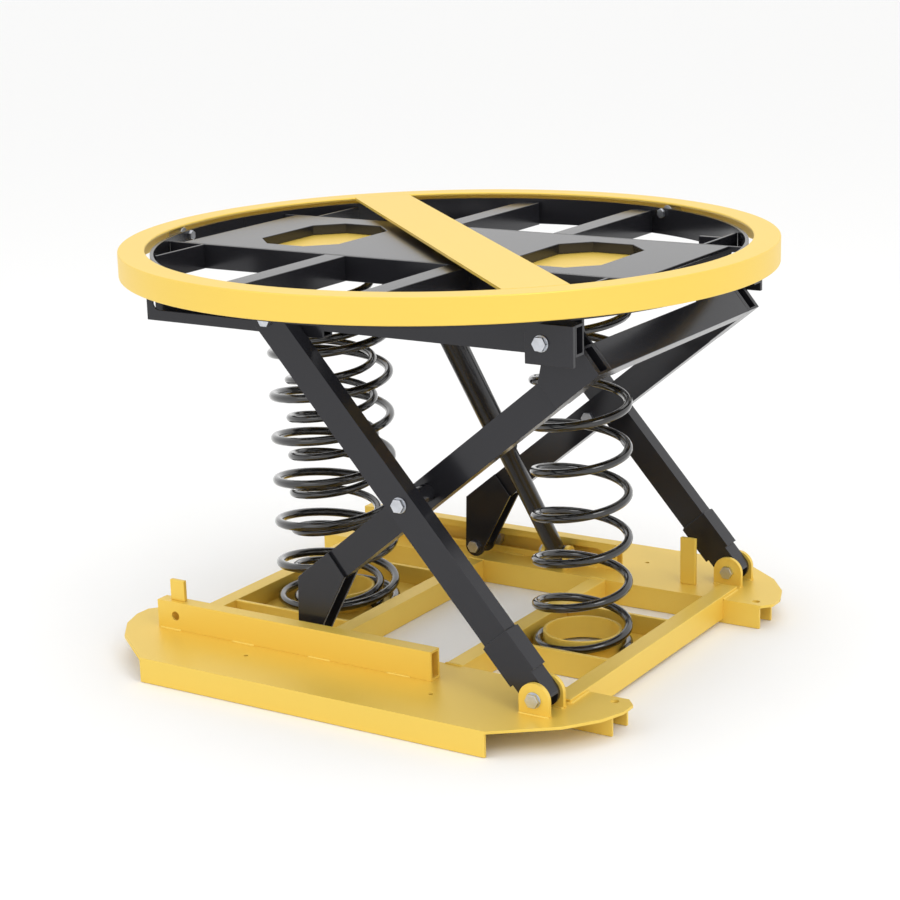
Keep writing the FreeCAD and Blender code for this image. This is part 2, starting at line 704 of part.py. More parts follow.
def inner_place(thing, side="0"):
    """Set a thing drawn round the centre pin on an inner leg's slope."""
    return place(thing, MID_X, side, MID_Z, Y_AXIS, INNER_TURN)


def inner_leg(name, side):
    """An inner leg's tube with the spacer boss of its centre pin."""
    tube = leg_tube("-Sizes.inner_low_reach", z("inner_top_reach"))
    hole = cross_hole("0")
    low, high = span(side, HALF_WIDTH, "(Sizes.outer_y - Sizes.inner_y - %s - 1)" % HALF_WIDTH)
    boss = rod(z("spacer_radius"), low, high, "0", "0", "0", "y")
    bore = rod(HOLE, "%s - 1" % low, "%s + 1" % high, "0", "0", "0", "y")
    leg = fuse(cut(tube, hole), cut(boss, bore))
    node(inner_place(leg, on_side(side, z("inner_y"))), name + "_inner_leg")


def pin_plates(points, pin_x, pin_z, label):
    """Two pairs of plates that carry a pin off the line of the inner legs."""
    plates = []
    for _, side in SIDES:
        for face in (-1, 1):
            shape = pad(points, z("plate_gauge"), "XZ", midplane=True)
            middle = "(Sizes.plate_gauge / 2)"
            disc = rod("20", minus(middle), middle, pin_x, "0", pin_z, "y")
            bore = rod(HOLE, "-20", "20", pin_x, "0", pin_z, "y")
            plate = cut(fuse(shape, disc), bore)
            offset = "(Sizes.leg_width + Sizes.plate_gauge) / 2"
            y = "%s + %s" % (on_side(side, z("inner_y")), on_side(face, offset))
            plates.append(inner_place(plate, y))
    node(group(*plates), label)


def inner_frame():
    """What joins and ends the two inner legs."""
    end = z("inner_top_reach")
    low_end = "-Sizes.inner_low_reach"
    pin_plates(
        (
            (low_end, HALF_DEPTH),
            ("-%s - 16" % HALF_PIN_X, "-%s + 12" % HALF_PIN_Z),
            ("-%s + 14" % HALF_PIN_X, "-%s - 14" % HALF_PIN_Z),
            ("%s + 82" % low_end, minus(HALF_DEPTH)),
            ("%s + 82" % low_end, HALF_DEPTH),
        ),
        minus(HALF_PIN_X),
        minus(HALF_PIN_Z),
        "foot_plates",
    )
    pin_plates(
        (
            ("%s - 95" % end, minus(HALF_DEPTH)),
            (end, minus(HALF_DEPTH)),
            (end, HALF_DEPTH),
            ("%s + 18" % HALF_PIN_X, "%s + 8" % HALF_PIN_Z),
            ("%s - 16" % HALF_PIN_X, "%s + 12" % HALF_PIN_Z),
            ("%s - 95" % end, HALF_DEPTH),
        ),
        HALF_PIN_X,
        HALF_PIN_Z,
        "head_plates",
    )
    reach = "(Sizes.inner_y - %s)" % PLATE_OUT
    start = "%s - Sizes.cross_member" % end
    outside = box(start, end, minus(reach), reach, minus(HALF_DEPTH), HALF_DEPTH)
    inside = box(
        "%s + Sizes.leg_wall" % start,
        "%s - Sizes.leg_wall" % end,
        "-%s - 1" % reach,
        "%s + 1" % reach,
        "-%s + Sizes.leg_wall" % HALF_DEPTH,
        "%s - Sizes.leg_wall" % HALF_DEPTH,
    )
    node(inner_place(cut(outside, inside)), "upper_cross_member")
    axles = []
    pins = []
    foot_in = "(Sizes.inner_y - %s)" % PLATE_OUT
    foot_out = "(Sizes.inner_y + %s)" % PLATE_OUT
    roller_in = "(Sizes.guide_y - Sizes.roller_width / 2)"
    roller_out = "(Sizes.guide_y + Sizes.roller_width / 2)"
    for _, side in SIDES:
        shoulder = (foot_out, roller_in)
        axles.append(axle(side, foot_in, roller_out, shoulder, ROLLER_X, z("pin_z")))
        inner = "(Sizes.inner_y - %s)" % HALF_WIDTH
        outer = "(Sizes.outer_y + %s)" % HALF_WIDTH
        pins.append(bolt_y(side, inner, outer, MID_X, MID_Z))
    node(group(*axles), "lower_roller_axles")
    node(group(*pins), "centre_pivot_bolts")


for side_name, side_sign in SIDES:
    outer_leg(side_name, side_sign)
    outer_face = "(Sizes.outer_y + %s)" % HALF_WIDTH
    inner_face = "(Sizes.outer_y - %s)" % HALF_WIDTH
    roller_inner = "(Sizes.guide_y - Sizes.roller_width / 2)"
    roller_outer = "(Sizes.guide_y + Sizes.roller_width / 2)"
    upper_axle = axle(
        side_sign, outer_face, roller_inner, (roller_outer, inner_face), ROLLER_X, UPPER_Z
    )
    node(upper_axle, side_name + "_upper_axle")
    upper_radius = z("upper_roller_radius")
    lower_radius = z("lower_roller_radius")
    roller(side_sign, upper_radius, ROLLER_X, UPPER_Z, side_name + "_upper_roller")
    roller(side_sign, lower_radius, ROLLER_X, z("pin_z"), side_name + "_lower_roller")
    inner_leg(side_name, side_sign)
inner_frame()

# ------------------------------------------------------------- top frame


def on_hoop(y):
    """X at which a line at this Y meets the hoop's inner face."""
    return "sqrt(%s^2 - (%s)^2)" % (HOOP_IN, y)


def side_beams():
    """Beams and roller guides along both sides of the top frame."""
    beams = []
    guides = []
    slot_left = "(%s - Sizes.slot_margin)" % ROLLER_LOW_X
    slot_right = "(%s + Sizes.slot_margin)" % ROLLER_X
    for _, side in SIDES:
        beam = tube_x(z("side_beam_split"), z("bracket_right"), side, z("side_beam_z"), z("hoop_z"))
        low, high = span(side, "%s - 1" % GUIDE_IN, "%s + 1" % GUIDE_OUT)
        beams.append(cut(beam, rod(HOLE, low, high, z("pivot_x"), "0", UPPER_Z, "y")))
        half = z("upper_guide_half")
        bottom = "(%s - %s)" % (UPPER_Z, half)
        top = "(%s + %s)" % (UPPER_Z, half)
        left = "(%s - Sizes.upper_margin)" % ROLLER_LOW_X
        guide = tube_x(left, z("side_beam_split"), side, bottom, top)
        low, high = span(side, z("guide_y"), "%s + 1" % GUIDE_OUT)
        guides.append(cut(guide, slot_tool(slot_left, slot_right, low, high, UPPER_Z)))
    node(group(*beams), "side_beams")
    node(group(*guides), "upper_roller_guides")


def pivot_brackets():
    """Outer plates and inner hangers for the inner legs' upper pins."""
    plates = []
    bolts = []
    hanger_out = "(Sizes.inner_y - %s - Sizes.lug_gap)" % PLATE_OUT
    hanger_in = "(%s - Sizes.lug_gauge)" % hanger_out
    outer = "(%s + Sizes.lug_gauge)" % GUIDE_OUT
    for _, side in SIDES:
        low, high = span(side, GUIDE_OUT, outer)
        plate = box(
            z("bracket_left"), z("bracket_right"), low, high, z("bracket_z"), z("hoop_z")
        )
        hole = rod(HOLE, "%s - 1" % low, "%s + 1" % high, z("pivot_x"), "0", UPPER_Z, "y")
        plates.append(cut(plate, hole))
        low, high = span(side, hanger_in, hanger_out)
        right = "Sizes.end_rib_x - Sizes.rib_gauge / 2"
        plate = box("Sizes.pivot_x - 20", right, low, high, UPPER_Z, DECK_TOP)
        foot = rod("20", low, high, z("pivot_x"), "0", UPPER_Z, "y")
        hole = rod(HOLE, "%s - 1" % low, "%s + 1" % high, z("pivot_x"), "0", UPPER_Z, "y")
        plates.append(cut(fuse(plate, foot), hole))
        bolts.append(bolt_y(side, hanger_in, outer, z("pivot_x"), UPPER_Z))
    node(group(*plates), "pivot_brackets")
    node(group(*bolts), "top_pivot_bolts")


def octagon(x, grow):
    """Corners of a deck opening centred on x, grown by a margin."""
    half_x = "(Sizes.opening_half_x + %s)" % grow
    half_y = "(Sizes.opening_half_y + %s)" % grow
    in_x = "(%s - Sizes.opening_corner)" % half_x
    in_y = "(%s - Sizes.opening_corner)" % half_y
    corners = (
        (half_x, in_y, 1, -1),
        (half_x, in_y, 1, 1),
        (in_x, half_y, 1, 1),
        (in_x, half_y, -1, 1),
        (half_x, in_y, -1, 1),
        (half_x, in_y, -1, -1),
        (in_x, half_y, -1, -1),
        (in_x, half_y, 1, -1),
    )
    return [
        ("%s + %d * %s" % (x, sign_x, across), "%d * %s" % (sign_y, along))
        for across, along, sign_x, sign_y in corners
    ]


def deck():
    """The deck plate with its two lipped openings, and the ribs round it."""
    half_x = z("deck_half_x")
    half_y = z("deck_half_y")
    plate = box(minus(half_x), half_x, minus(half_y), half_y, DECK_LOW, DECK_TOP)
    lips = []
    openings = []
    for x in (z("spring_x_left"), z("spring_x_right")):
        lips.append(lifted(pad(octagon(x, "6"), z("lip_depth")), CAP_TOP))
        depth = "Sizes.lip_depth + Sizes.deck_gauge + 2"
        openings.append(lifted(pad(octagon(x, "0"), depth), "%s - 1" % CAP_TOP))
    hole = rod("Sizes.hub_pin_radius + Sizes.fit", DECK_LOW, DECK_TOP, "0", "0", "0", "z")
    node(cut(fuse(plate, *lips), *openings, hole), "deck_plate")
    rib_out = "(%s + Sizes.rib_gauge)" % half_y
    ribs = []
    ends = []
    beams = []
    for _, side in SIDES:
        low, high = span(side, half_y, rib_out)
        reach = on_hoop(rib_out)
        ribs.append(box(minus(reach), reach, low, high, z("hoop_z"), DECK_TOP))
        for sign in (-1, 1):
            inner = "(Sizes.end_rib_x - Sizes.rib_gauge / 2)"
            outer = "(Sizes.end_rib_x + Sizes.rib_gauge / 2)"
            left, right = span(sign, inner, outer)
            low, high = span(side, rib_out, on_hoop(outer))
            ends.append(box(left, right, low, high, z("hoop_z"), DECK_TOP))
        for x, sign in ((z("beam_x_left"), -1), (z("beam_x_right"), 1)):
            far = "(%s + Sizes.beam_width / 2)" % (x if sign > 0 else minus(x))
            low, high = span(side, rib_out, on_hoop(far))
            left = "%s - Sizes.beam_width / 2" % x
            right = "%s + Sizes.beam_width / 2" % x
            outside = box(left, right, low, high, z("hoop_z"), DECK_TOP)
            inside = box(
                "%s + Sizes.beam_wall" % left,
                "%s - Sizes.beam_wall" % right,
                "%s - 1" % low,
                "%s + 1" % high,
                "Sizes.hoop_z + Sizes.beam_wall",
                "%s - Sizes.beam_wall" % DECK_TOP,
            )
            beams.append(cut(outside, inside))
    node(group(*ribs), "deck_ribs")
    node(group(*ends), "end_ribs")
    node(group(*beams), "cross_beams")


def spring_cap(name, x, coil, wire):
    """The plate over a spring, with a ring that goes down inside it."""
    half_y = "(Sizes.opening_half_y + 12)"
    left = "%s - Sizes.cap_half_x" % x
    right = "%s + Sizes.cap_half_x" % x
    plate = box(left, right, minus(half_y), half_y, CAP_LOW, CAP_TOP)
    ring = "(%s - %s - 5)" % (z(coil), z(wire))
    low = "(%s - Sizes.cap_boss)" % CAP_LOW
    boss = rod(ring, low, CAP_LOW, x, "0", "0", "z")
    bore = rod("%s - 5" % ring, "%s - 1" % low, CAP_LOW, x, "0", "0", "z")
    node(fuse(plate, cut(boss, bore)), name + "_spring_cap")


def turned(thing, angle):
    """Turn a thing about the table's upright axis."""
    return place(group(thing), axis=V(0, 0, 1), angle=angle)


ROLLER_Z = "(Sizes.top_z - Sizes.ring_gauge - Sizes.ring_roller_radius - 0.2)"
ROLLER_IN = "(%s + 6)" % HOOP_OUT
ROLLER_OUT = "(%s + Sizes.ring_roller_width)" % ROLLER_IN
RING_ROLLERS = 6


def hoop_and_rollers():
    """The round frame under the ring, its rollers and their axles."""
    hoop = cut(
        rod(HOOP_OUT, z("hoop_z"), HOOP_TOP, "0", "0", "0", "z"),
        rod(HOOP_IN, "Sizes.hoop_z - 1", "%s + 1" % HOOP_TOP, "0", "0", "0", "z"),
    )
    axles = []
    holes = []
    hole_radius = "Sizes.ring_axle_radius + Sizes.fit"
    for index in range(RING_ROLLERS):
        angle = "Sizes.first_roller_angle + %d" % (360 // RING_ROLLERS * index)
        hole = rod(hole_radius, "%s - 1" % HOOP_IN, "%s + 1" % HOOP_OUT, "0", "0", ROLLER_Z, "x")
        holes.append(turned(hole, angle))
        radius = z("ring_axle_radius")
        shank = rod(radius, "%s - 1" % HOOP_IN, "%s + 4" % ROLLER_OUT, "0", "0", ROLLER_Z, "x")
        collar = rod("%s + 3" % radius, HOOP_OUT, "%s - 0.5" % ROLLER_IN, "0", "0", ROLLER_Z, "x")
        head = hexagon("9", "%s - 6.3" % HOOP_IN, "%s - 0.3" % HOOP_IN, "0", "0", ROLLER_Z, "x")
        axles.append(turned(fuse(shank, collar, head), angle))
        wheel = rod(z("ring_roller_radius"), ROLLER_IN, ROLLER_OUT, "0", "0", ROLLER_Z, "x")
        low = "%s - 1" % ROLLER_IN
        high = "%s + 1" % ROLLER_OUT
        bore = rod("%s + Sizes.fit" % radius, low, high, "0", "0", ROLLER_Z, "x")
        node(turned(cut(wheel, bore), angle), "ring_roller_%d" % (index + 1))
    node(cut(hoop, *holes), "support_hoop")
    node(group(*axles), "ring_roller_axles")


def turntable():
    """The ring, its crossbar with the hub, and the pin they turn on."""
    skirt_z = "Sizes.top_z - Sizes.ring_skirt"
    ring = cut(
        rod(z("ring_radius"), skirt_z, z("top_z"), "0", "0", "0", "z"),
        rod(
            "Sizes.ring_radius - Sizes.ring_gauge",
            "%s - 1" % skirt_z,
            "Sizes.top_z - Sizes.ring_gauge",
            "0",
            "0",
            "0",
            "z",
        ),
        rod(RING_IN, "%s - 1" % skirt_z, "Sizes.top_z + 1", "0", "0", "0", "z"),
    )
    node(ring, "turntable_ring")
    under = "(Sizes.top_z - Sizes.ring_gauge)"
    half = "(Sizes.crossbar_width / 2)"
    block = box(minus(RING_IN), RING_IN, minus(half), half, under, z("top_z"))
    bar = turned(block, z("crossbar_angle"))
    disc = rod(RING_IN, under, z("top_z"), "0", "0", "0", "z")
    trimmed = doc.addObject("Part::Common", "Trim")
    trimmed.Base = bar
    trimmed.Tool = disc
    sleeve = rod("Sizes.hub_pin_radius + 10", "%s + 1" % DECK_TOP, under, "0", "0", "0", "z")
    bore = rod("Sizes.hub_pin_radius + Sizes.fit", DECK_TOP, under, "0", "0", "0", "z")
    node(fuse(trimmed, cut(sleeve, bore)), "crossbar")
    pin = rod(z("hub_pin_radius"), "%s - 8" % DECK_LOW, "%s - 1" % under, "0", "0", "0", "z")
    flange = rod("Sizes.hub_pin_radius + 9", "%s - 8" % DECK_LOW, DECK_LOW, "0", "0", "0", "z")
    node(fuse(pin, flange), "turntable_pin")


side_beams()
pivot_brackets()
deck()
spring_cap("left", z("spring_x_left"), "nested_coil_radius", "nested_wire")
spring_cap("right", z("spring_x_right"), "right_coil_radius", "right_wire")
hoop_and_rollers()
turntable()

# ---------------------------------------------------------------- springs


def spring(name, x, coil, wire, half_turns):
    """A coil between a seat and a cap, made of half rings that lean in turn."""
    height = "(%s - %s - 2 * %s - 0.6)" % (CAP_LOW, SEAT_TOP, z(wire))
    rise = "(%s / %s)" % (height, z(half_turns))
    start = "(%s + %s + 0.3)" % (SEAT_TOP, z(wire))
    tilt = "atan(%s / (2 * %s))" % (rise, z(coil))
    halves = []
    for index in range(int(size(half_turns))):
        half = doc.addObject("Part::Torus", "HalfTurn")
        half.setExpression("Radius1", "sqrt(%s^2 + (%s / 2)^2)" % (z(coil), rise))
        half.setExpression("Radius2", z(wire))
        half.Angle3 = 180
        odd = index % 2
        turned_half = turned(half, "180" if odd else "0")
        middle = "%s + %s * %s" % (start, index + 0.5, rise)
        lean_angle = minus(tilt) if odd else tilt
        halves.append(place(group(turned_half), x, "0", middle, Y_AXIS, lean_angle))
    coil_shape = doc.addObject("Part::MultiFuse", "Spring")
    coil_shape.Shapes = halves
    coil_shape.Refine = False
    node(coil_shape, name)


spring("left_outer_spring", z("spring_x_left"), "left_coil_radius", "left_wire", "left_half_turns")
spring(
    "left_inner_spring", z("spring_x_left"), "nested_coil_radius", "nested_wire", "nested_half_turns"
)
spring("right_spring", z("spring_x_right"), "right_coil_radius", "right_wire", "right_half_turns")

# ----------------------------------------------------------------- damper
# The damper is drawn upright from its lower pin, then leaned over.

DAMPER_RISE = "Sizes.pin_rise"
DAMPER_RUN = "(Sizes.damper_base_y - Sizes.damper_top_y)"
DAMPER_LENGTH = "sqrt(%s^2 + %s^2)" % (DAMPER_RISE, DAMPER_RUN)
DAMPER_LEAN = "atan(%s / %s)" % (DAMPER_RUN, DAMPER_RISE)


def lean(thing):
    """Set a thing drawn upright on the damper's slope."""
    where = (z("damper_x"), z("damper_base_y"), z("pin_z"))
    return place(thing, *where, V(1, 0, 0), DAMPER_LEAN)


def damper():
    """The cylinder, and the rod with its cover and upper eye."""
    half = "(Sizes.damper_eye_width / 2)"
    eye = z("damper_eye_radius")
    top = "(%s)" % DAMPER_LENGTH
    cylinder = rod(z("damper_radius"), "0", z("damper_body_length"), "0", "0", "0", "z")
    lower_eye = rod(eye, minus(half), half, "0", "0", "0", "x")
    bore = rod(HOLE, "-%s - 1" % half, "%s + 1" % half, "0", "0", "0", "x")
    well = rod(
        "Sizes.damper_rod_radius + 0.3",
        "%s + 20" % eye,
        "Sizes.damper_body_length + 1",
        "0",
        "0",
        "0",
        "z",
    )
    node(lean(cut(fuse(cylinder, lower_eye), bore, well)), "damper_cylinder")
    stem_end = "(%s - Sizes.damper_body_length - 10)" % top
    stem = rod(z("damper_rod_radius"), "%s - 26" % stem_end, top, "0", "0", "0", "z")
    upper_eye = rod(eye, minus(half), half, "0", "0", top, "x")
    cover_top = "(%s - Sizes.damper_cover_gap)" % top
    cover_low = "(%s - Sizes.damper_cover_length)" % cover_top
    cover = cut(
        rod(z("damper_cover_radius"), cover_low, cover_top, "0", "0", "0", "z"),
        rod(
            "Sizes.damper_cover_radius - 2.5",
            "%s - 1" % cover_low,
            "%s - 5" % cover_top,
            "0",
            "0",
            "0",
            "z",
        ),
    )
    reach = "(%s + Sizes.lug_gauge + 2)" % CHEEK_IN
    pin = rod("Sizes.bolt_radius - 1", minus(reach), reach, "0", "0", top, "x")
    node(lean(fuse(stem, upper_eye, cover, pin)), "damper_rod")


def damper_bracket():
    """Two cheeks under the deck, slotted open towards the front and down."""
    cheeks = []
    y = z("damper_top_y")
    radius = z("damper_lug_radius")
    far = "(%s + Sizes.lug_gauge)" % CHEEK_IN
    reach = "(4 * Sizes.damper_lug_radius)"
    turn = z("mouth_angle")
    half = z("mouth_half")
    run = "(%s * cos(%s) - %s * sin(%s))" % (reach, turn, half, turn)
    drop = "(%s * sin(%s) + %s * cos(%s))" % (reach, turn, half, turn)
    for left, right in (
        ("(Sizes.damper_x + %s)" % CHEEK_IN, "(Sizes.damper_x + %s)" % far),
        ("(Sizes.damper_x - %s)" % far, "(Sizes.damper_x - %s)" % CHEEK_IN),
    ):
        low = "%s - %s" % (y, radius)
        high = "%s + %s" % (y, radius)
        cheek = box(left, right, low, high, UPPER_Z, DECK_LOW)
        foot = rod(radius, left, right, "0", y, UPPER_Z, "x")
        seat = rod(half, left, right, "0", y, UPPER_Z, "x")
        mouth = box(left, right, "0", reach, "0", "2 * %s" % half)
        place(mouth, left, "%s - %s" % (y, run), "%s - %s" % (UPPER_Z, drop), V(1, 0, 0), turn)
        cheeks.append(cut(fuse(cheek, foot), seat, mouth))
    node(group(*cheeks), "damper_bracket")


damper()
damper_bracket()

# ----------------------------------------------------------------- export

doc.recompute()
for item in doc.Objects:
    if "Invalid" in item.State or "Error" in item.State:
        raise RuntimeError("%s did not build" % item.Label)
os.makedirs("parts", exist_ok=True)
for item in nodes:
    if item.Shape.isNull() or not item.Shape.isValid():
        raise RuntimeError("%s has no sound shape" % item.Label)
    item.Shape.exportStep("parts/%s.step" % item.Label)
print("%d pieces" % len(nodes))
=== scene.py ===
"""The looks of a spring lift table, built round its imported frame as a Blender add-on."""

import json
import math

import bpy
from bpy.props import FloatProperty, FloatVectorProperty, PointerProperty
from mathutils import Matrix, Vector


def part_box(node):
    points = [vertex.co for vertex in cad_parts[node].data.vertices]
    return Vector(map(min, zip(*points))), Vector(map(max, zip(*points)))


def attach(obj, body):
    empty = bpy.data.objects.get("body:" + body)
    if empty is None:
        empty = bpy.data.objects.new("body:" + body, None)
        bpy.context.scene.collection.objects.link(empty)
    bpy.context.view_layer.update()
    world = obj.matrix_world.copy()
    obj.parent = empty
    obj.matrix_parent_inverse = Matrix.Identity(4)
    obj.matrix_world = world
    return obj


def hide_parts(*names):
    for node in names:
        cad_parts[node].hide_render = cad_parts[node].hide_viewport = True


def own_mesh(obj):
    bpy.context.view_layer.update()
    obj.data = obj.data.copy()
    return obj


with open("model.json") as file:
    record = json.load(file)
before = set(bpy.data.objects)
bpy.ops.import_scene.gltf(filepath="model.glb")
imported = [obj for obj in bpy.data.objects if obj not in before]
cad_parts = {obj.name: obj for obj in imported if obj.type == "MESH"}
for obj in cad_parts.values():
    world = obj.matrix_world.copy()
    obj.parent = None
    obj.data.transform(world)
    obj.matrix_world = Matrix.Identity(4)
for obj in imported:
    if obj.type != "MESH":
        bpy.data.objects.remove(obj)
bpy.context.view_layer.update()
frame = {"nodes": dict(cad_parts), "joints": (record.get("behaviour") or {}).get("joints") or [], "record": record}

bl_info = {
    "name": "Spring lift table",
    "version": (1, 0, 0),
    "blender": (4, 5, 0),
    "location": "3D View > Sidebar > Lift table",
    "description": "Builds the painted, welded and bolted parts of a spring lift table",
    "category": "Object",
}

MM = 0.001
BODIES = frame["record"]["behaviour"]["bodies"]
SLOTS = {row["node"]: row["material_slot"] for row in frame["record"]["subparts"]}
JOINTS = {joint["name"]: joint for joint in frame["joints"]}
SIDES = (("front", -1), ("rear", 1))
MERGE_REACH = 0.02 * MM
BEAD_STEP = 2.6 * MM
BEAD_RIPPLE = 0.14
STITCHES = (0.0, 0.28, 0.56, 0.84)
STITCH_INSET = 4.0 * MM
STITCH_LENGTH = 46.0 * MM
LUG_FACES = (0.0, 8.0 * MM, 46.0 * MM, 54.0 * MM)
CROSS_TUBE_LEFTS = (-130.0 * MM, 130.0 * MM)
CROSS_TUBE_WIDTH = 32.0 * MM
OUTER_LEG_Y = 352.0 * MM
FORK_LENGTH = 110.0 * MM
FORK_BEAD = 2.2 * MM
FORK_HALF_WIDTH = 15.5 * MM
LEG_HALF_WIDTH = 15.0 * MM
FORK_HALF_DEPTH = 26.0 * MM
LEG_HALF_DEPTH = 25.5 * MM
LEG_EDGE = 2.0 * MM
WASHER_THICKNESS = 1.6 * MM
PIVOTS = (
    ("base", "lift", 379, "base_pivot"),
    ("inner_frame", "inner_frame_swing", 367, "centre_pivot"),
    ("top_frame", "top_frame_swing", 341, "top_pivot"),
)


# ------------------------------------------------------------------ settings


class TableColours(bpy.types.PropertyGroup):
    """Colours of the paints and bare metals."""

    yellow: FloatVectorProperty(
        name="Yellow paint",
        description="Colour of the base, the ring and the crossbar",
        subtype="COLOR",
        default=(0.86, 0.43, 0.045),
        min=0.0,
        max=1.0,
    )
    black: FloatVectorProperty(
        name="Black paint",
        description="Colour of the legs and the top frame",
        subtype="COLOR",
        default=(0.003, 0.0028, 0.0028),
        min=0.0,
        max=1.0,
    )
    zinc: FloatVectorProperty(
        name="Zinc plate",
        description="Colour of the bolts",
        subtype="COLOR",
        default=(0.62, 0.64, 0.68),
        min=0.0,
        max=1.0,
    )
    rod: FloatVectorProperty(
        name="Hard chrome",
        description="Colour of the damper's rod",
        subtype="COLOR",
        default=(0.75, 0.76, 0.78),
        min=0.0,
        max=1.0,
    )
    floor: FloatVectorProperty(
        name="Floor",
        description="Colour of the floor",
        subtype="COLOR",
        default=(0.95, 0.95, 0.945),
        min=0.0,
        max=1.0,
    )


class TableSizes(bpy.types.PropertyGroup):
    """Sizes of the details that the frame doesn't hold."""

    edge: FloatProperty(
        name="Edge radius",
        description="Radius of the eased edges of plates and tubes",
        default=1.2 * MM,
        unit="LENGTH",
    )
    bead: FloatProperty(
        name="Weld bead radius",
        description="Radius of the weld beads",
        default=3.0 * MM,
        unit="LENGTH",
    )
    closed_turns: FloatProperty(
        name="Closed turns",
        description="Turns at each end of a spring that lie on each other",
        default=0.8,
    )
    washer: FloatProperty(
        name="Washer radius",
        description="Outer radius of the pivot bolts' washers",
        default=13.0 * MM,
        unit="LENGTH",
    )


def colours():
    """The colour settings."""
    return bpy.context.scene.table_colours


def sizes():
    """The size settings."""
    return bpy.context.scene.table_sizes


# ------------------------------------------------------------------ materials


def add_node(tree, kind, **settings):
    """A shader node with its settings."""
    node = tree.nodes.new(kind)
    for name, value in settings.items():
        setattr(node, name, value)
    return node


def noise(tree, where, scale, detail=3.0):
    """A noise texture in object coordinates."""
    node = add_node(tree, "ShaderNodeTexNoise")
    node.inputs["Scale"].default_value = scale
    node.inputs["Detail"].default_value = detail
    tree.links.new(where, node.inputs["Vector"])
    return node.outputs["Fac"]


def ranged(tree, value, low, high, new_low, new_high):
    """A value moved from one range to another."""
    node = add_node(tree, "ShaderNodeMapRange")
    for name, number in (
        ("From Min", low),
        ("From Max", high),
        ("To Min", new_low),
        ("To Max", new_high),
    ):
        node.inputs[name].default_value = number
    tree.links.new(value, node.inputs["Value"])
    return node.outputs["Result"]


def painted_surface():
    """Group: the blotches, the orange peel and the rubbed places of a sprayed coat."""
    name = "SprayedCoat"
    if name in bpy.data.node_groups:
        return bpy.data.node_groups[name]
    group = bpy.data.node_groups.new(name, "ShaderNodeTree")
    face = group.interface
    for label, default in (("Blotch Scale", 6.0), ("Peel Scale", 420.0), ("Gloss", 0.35)):
        socket = face.new_socket(label, in_out="INPUT", socket_type="NodeSocketFloat")
        socket.default_value = default
    for label in ("Tone", "Roughness", "Height"):
        face.new_socket(label, in_out="OUTPUT", socket_type="NodeSocketFloat")
    source = group.nodes.new("NodeGroupInput")
    result = group.nodes.new("NodeGroupOutput")
    where = group.nodes.new("ShaderNodeTexCoord").outputs["Object"]
    blotch = add_node(group, "ShaderNodeTexNoise")
    blotch.inputs["Detail"].default_value = 4.0
    group.links.new(where, blotch.inputs["Vector"])
    group.links.new(source.outputs["Blotch Scale"], blotch.inputs["Scale"])
    peel = add_node(group, "ShaderNodeTexNoise")
    peel.inputs["Detail"].default_value = 1.0
    group.links.new(where, peel.inputs["Vector"])
    group.links.new(source.outputs["Peel Scale"], peel.inputs["Scale"])
    smear = noise(group, where, 35.0)
    group.links.new(blotch.outputs["Fac"], result.inputs["Tone"])
    rough = add_node(group, "ShaderNodeMath", operation="MULTIPLY_ADD")
    group.links.new(smear, rough.inputs[0])
    rough.inputs[1].default_value = 0.22
    group.links.new(source.outputs["Gloss"], rough.inputs[2])
    group.links.new(rough.outputs[0], result.inputs["Roughness"])
    group.links.new(peel.outputs["Fac"], result.inputs["Height"])
    return group


def painted_edge_highlight():
    """Group: a mask for a painted highlight along sharp convex edges, broken up by noise."""
    name = "EdgeRub"
    if name in bpy.data.node_groups:
        return bpy.data.node_groups[name]
    group = bpy.data.node_groups.new(name, "ShaderNodeTree")
    face = group.interface
    amount = face.new_socket("Amount", in_out="INPUT", socket_type="NodeSocketFloat")
    amount.default_value = 0.3
    face.new_socket("Mask", in_out="OUTPUT", socket_type="NodeSocketFloat")
    source = group.nodes.new("NodeGroupInput")
    result = group.nodes.new("NodeGroupOutput")
    shape = group.nodes.new("ShaderNodeNewGeometry")
    where = group.nodes.new("ShaderNodeTexCoord").outputs["Object"]
    # Convex edges get the painted highlight; noise breaks it into pieces.
    sharp = ranged(group, shape.outputs["Pointiness"], 0.52, 0.62, 0.0, 1.0)
    broken = ranged(group, noise(group, where, 90.0), 0.42, 0.62, 0.0, 1.0)
    mixed = add_node(group, "ShaderNodeMath", operation="MULTIPLY")
    group.links.new(sharp, mixed.inputs[0])
    group.links.new(broken, mixed.inputs[1])
    scaled = add_node(group, "ShaderNodeMath", operation="MULTIPLY")
    group.links.new(mixed.outputs[0], scaled.inputs[0])
    group.links.new(source.outputs["Amount"], scaled.inputs[1])
    group.links.new(scaled.outputs[0], result.inputs["Mask"])
    return group


def placed_group(tree, group, **values):
    """A node that uses a group, with its inputs set."""
    node = tree.nodes.new("ShaderNodeGroup")
    node.node_tree = group
    for name, value in values.items():
        node.inputs[name.replace("_", " ")].default_value = value
    return node


def new_material(name):
    """An empty material with its shader and tree."""
    material = bpy.data.materials.new(name)
    material.use_nodes = True
    tree = material.node_tree
    return material, tree, tree.nodes["Principled BSDF"]


def mixed_colour(tree, factor, first, second):
    """A colour between two, by a factor."""
    node = add_node(tree, "ShaderNodeMix", data_type="RGBA")
    node.inputs[6].default_value = (*first, 1.0)
    node.inputs[7].default_value = (*second, 1.0)
    tree.links.new(factor, node.inputs[0])
    return node.outputs[2]


def bumped(tree, shader, height, strength, distance):
    """Give a shader a fine relief."""
    bump = add_node(tree, "ShaderNodeBump")
    bump.inputs["Strength"].default_value = strength
    bump.inputs["Distance"].default_value = distance
    tree.links.new(height, bump.inputs["Height"])
    tree.links.new(bump.outputs["Normal"], shader.inputs["Normal"])


